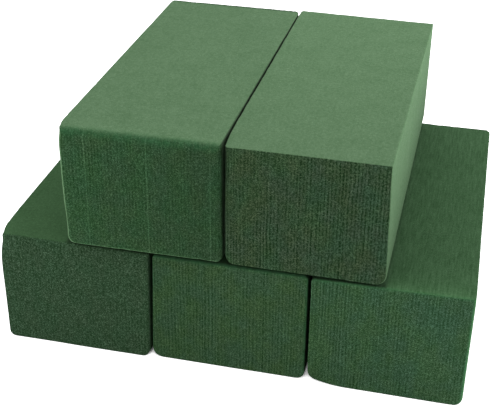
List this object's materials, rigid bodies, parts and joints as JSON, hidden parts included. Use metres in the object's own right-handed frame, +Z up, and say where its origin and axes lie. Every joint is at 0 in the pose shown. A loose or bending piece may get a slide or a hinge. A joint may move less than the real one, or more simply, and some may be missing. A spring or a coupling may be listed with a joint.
{
  "type": "floral foam brick stack",
  "caption": "Dark green floral foam bricks with square-cut ends and softly rounded long edges, stacked in a wider lower row and a narrower upper row.",
  "frame": {"origin": "on the ground, under the middle of the stack's bounding box", "axes": "+X to the right along the rows, seen from the front; +Y away from the front ends, along the bricks' length; +Z up"},
  "size_m": [0.2994, 0.2327, 0.1603],
  "materials": {
    "bottom_left_foam": "dry, dull, finely porous phenolic foam",
    "bottom_middle_foam": "dry, dull, finely porous phenolic foam",
    "bottom_right_foam": "dry, dull, finely porous phenolic foam",
    "top_left_foam": "dry, dull, finely porous phenolic foam with a paler dusty skin",
    "top_right_foam": "dry, dull, finely porous phenolic foam with a paler dusty skin"
  },
  "bodies": {
    "bottom_middle": {"bottom_middle_brick": "bottom_middle_foam"},
    "bottom_left": {"bottom_left_brick": "bottom_left_foam"},
    "bottom_right": {"bottom_right_brick": "bottom_right_foam"},
    "top_left": {"top_left_brick": "top_left_foam"},
    "top_right": {"top_right_brick": "top_right_foam"}
  },
  "joints": [
    {"name": "top_left_lift", "type": "slide", "parent": "bottom_middle", "child": "top_left", "axis": [0, 0, 1], "range_m": [0, 0.12]},
    {"name": "top_right_lift", "type": "slide", "parent": "bottom_middle", "child": "top_right", "axis": [0, 0, 1], "range_m": [0, 0.12]},
    {"name": "bottom_left_slide", "type": "slide", "parent": "bottom_middle", "child": "bottom_left", "axis": [-1, 0, 0], "range_m": [0, 0.075]},
    {"name": "bottom_right_slide", "type": "slide", "parent": "bottom_middle", "child": "bottom_right", "axis": [1, 0, 0], "range_m": [0, 0.075]}
  ]
}
